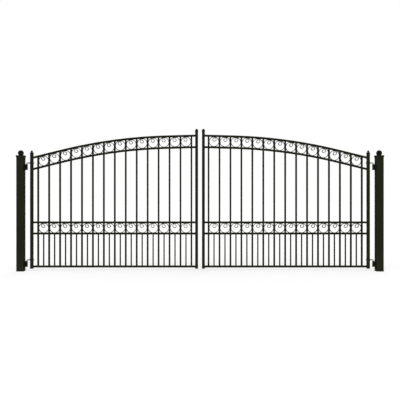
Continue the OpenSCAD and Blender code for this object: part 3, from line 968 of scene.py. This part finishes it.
# %% Nuts in place
for side in SIDES:
    copies = [placed(nut, Matrix.Translation((low + high) / 2), f"{side}_nut_{i}")
              for i, (low, high) in enumerate(nut_boxes[side])]
    nuts = joined(copies, f"{side}_chamfered_nuts")
    hang(nuts, f"{side}_leaf", zinc, stands_for=[f"{side}_hinge_nuts"])
    print(f"{nuts.name}: {len(nut_boxes[side])} nuts")
scrap(nut)

# %% [markdown]
# ## Weld beads
# The whole gate is welded, and a weld shows: a bead that swells and dips once for each drop of
# metal. A bead is a small circle that is extruded along its run, wider and narrower by turns.
# Three lengths are made as patterns and copied, turned and flattened to fit hundreds of joints,
# so each has only a few dozen faces, and the long runs on the hinge plates have more.

# %% Bead patterns
def bead(name, drops, sides):
    """A bead one unit long and about one unit thick, along X, centred on the origin."""
    step = 1.0 / (2 * drops)
    swell, dip, tip = 0.5, 0.41, 0.2
    radii = [tip] + [swell if i % 2 else dip for i in range(1, 2 * drops)] + [tip]
    profile = [(-0.5 + i * step, radius) for i, radius in enumerate(radii)]
    made = turned(profile, sides, name)
    smooth(made, 80)
    return made


def run(pattern, centre, run_along, length, thick, deep=None, tilt=0.0):
    """One bead at its place: its length, its thickness and, where it is flattened, its depth front to back."""
    size = Matrix.Diagonal((length, deep or thick, thick, 1))
    lean = Matrix.Rotation(tilt, 4, "Y")
    return placed(pattern, Matrix.Translation(centre) @ lean @ run_along @ size, pattern.name + "_copy")


def lay(beads, name, body):
    """Joins beads into one painted piece on its body."""
    welds = joined(beads, name)
    hang(welds, body, weld_paint)
    print(f"{welds.name}: {len(beads)} beads, {len(welds.data.polygons)} faces")


tack_bead = bead("tack_bead_pattern", drops=3, sides=6)
joint_bead = bead("joint_bead_pattern", drops=7, sides=8)
plate_bead = bead("plate_bead_pattern", drops=20, sides=10)
ALONG_X = Matrix.Identity(4)
ALONG_Y = Matrix.Rotation(math.pi / 2, 4, "Z")
ALONG_Z = Matrix.Rotation(-math.pi / 2, 4, "Y")
print("beads:", [len(pattern.data.polygons) for pattern in (tack_bead, joint_bead, plate_bead)], "faces")

# %% [markdown]
# ## Welds round the scrolls
# A ring is welded at both ends of each of its four flats, in the narrow corner between the ring
# and the tube beside it, and a thin run closes the seam along the flat. The end of a flat is where
# the ring's outside crosses the plane of the tube, so its place follows from the ring's radius and
# the flat's distance from the centre.

# %% Scroll welds
RING_BEAD = 0.0052
RING_RUN = BAR_DEPTH * 0.98
SEAM = 0.0012                        # thickness of the weld that closes the seam along a flat
SEAM_DEPTH = BAR_DEPTH * 0.9
ring_outside = RING_INSIDE / 2 + RING_BAR

for side in SIDES:
    beads = []
    for band_name in ("arch", "mid"):
        for centre, half_width, half_height, square in ring_bays[f"{side}_{band_name}_rings"]:
            along_rail = Vector((square.z, 0, -square.x))
            for facing, along, reach, run_along, tilt in (
                    (Vector((1, 0, 0)), Vector((0, 0, 1)), half_width, ALONG_Z, 0.0),
                    (square, along_rail, half_height, ALONG_X, math.asin(square.x))):
                end_of_flat = math.sqrt(ring_outside ** 2 - reach ** 2)
                for way in (-1, 1):
                    flat = centre + facing * way * reach
                    beads.append(run(tack_bead, flat, run_along, 2 * end_of_flat, SEAM, SEAM_DEPTH, tilt))
                    for end in (-1, 1):
                        at = flat + along * end * end_of_flat
                        beads.append(run(tack_bead, at, ALONG_Y, RING_RUN, RING_BEAD))
    lay(beads, f"{side}_scroll_welds", f"{side}_leaf")

# %% [markdown]
# ## Welds on the pickets
# The pickets stand on the bottom rail, pass through punched holes in the mid rails and the band
# rail, and stop under the top rail. A short bead on each side holds every one of these joints.
# The places come from the CAD solids: each picket's box, and the rails' heights beside it.

# %% Picket welds
PICKET_BEAD = 0.0045
PICKET_RUN = 0.8                     # share of the picket's depth that its bead covers
BESIDE = 0.0003                      # from the picket's side to the edge of its hole
NEAR = 0.0004                        # points this close along the gate are measured


def heights_at(node, x):
    """Lowest and highest point of a CAD node's mesh close to one place along the gate."""
    heights = [v.co.z for v in nodes[node].data.vertices if abs(v.co.x - x) < NEAR]
    return min(heights), max(heights)


for side in SIDES:
    beads = []
    mid_joints = [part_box(f"{side}_bottom_rail")[1].z]
    mid_joints += [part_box(f"{side}_{rail}_rail")[0].z for rail in ("lower_mid", "upper_mid")]
    mid_joints += [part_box(f"{side}_{rail}_rail")[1].z for rail in ("lower_mid", "upper_mid")]
    for low, high in solids_of(f"{side}_pickets"):
        depth = (high.y - low.y) * PICKET_RUN
        for x, way in ((low.x, -1), (high.x, 1)):
            top = heights_at(f"{side}_pickets", x)[1]
            under, over = heights_at(f"{side}_band_rail", x + way * BESIDE)
            for z in (*mid_joints, top, under, over):
                beads.append(run(tack_bead, Vector((x, 0, z)), ALONG_Y, depth, PICKET_BEAD))
    for low, high in solids_of(f"{side}_short_pickets"):
        depth = (high.y - low.y) * PICKET_RUN
        for x in (low.x, high.x):
            for z in (low.z, high.z):
                beads.append(run(tack_bead, Vector((x, 0, z)), ALONG_Y, depth, PICKET_BEAD))
    lay(beads, f"{side}_picket_welds", f"{side}_leaf")

# %% [markdown]
# ## Welds at the stiles
# A rail butts against its stiles and is welded all round. Four beads make the square: two upright
# ones on the front and back faces, and two across, over and under the rail.

# %% Stile welds
STILE_BEAD = 0.0055

for side in SIDES:
    beads = []
    for node in RAILS:
        low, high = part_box(f"{side}_{node}")
        for x in (low.x, high.x):
            under, over = heights_at(f"{side}_{node}", x)
            middle = (under + over) / 2
            for y in (low.y, high.y):
                beads.append(run(joint_bead, Vector((x, y, middle)), ALONG_Z, over - under, STILE_BEAD))
            for z in (under, over):
                beads.append(run(joint_bead, Vector((x, 0, z)), ALONG_Y, high.y - low.y, STILE_BEAD))
    lay(beads, f"{side}_stile_welds", f"{side}_leaf")

# %% [markdown]
# ## Welds on the hinge plates
# Each barrel's plate carries half a leaf, so it has the longest welds: one up each side of the
# plate and one across its top and foot, laid against the post.

# %% Plate welds
PLATE_BEAD = 0.0062

for side in SIDES:
    beads = []
    for level in HINGES:
        low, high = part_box(f"{side}_{level}_hinge_barrel")
        face = low.x if side == "left" else high.x
        middle = (low.z + high.z) / 2
        for y in (low.y, high.y):
            beads.append(run(plate_bead, Vector((face, y, middle)), ALONG_Z, high.z - low.z, PLATE_BEAD))
        for z in (low.z, high.z):
            beads.append(run(plate_bead, Vector((face, 0, z)), ALONG_Y, high.y - low.y, PLATE_BEAD))
    lay(beads, f"{side}_plate_welds", "posts")
scrap(tack_bead, joint_bead, plate_bead)

# %% [markdown]
# ## Last measures
# The script ends by printing the CAD model's box. Dressing may not make the gate larger
# than its CAD model.

# %% Print the CAD box
print("CAD box   ", [round(v, 4) for v in (*cad_low, *cad_high)])
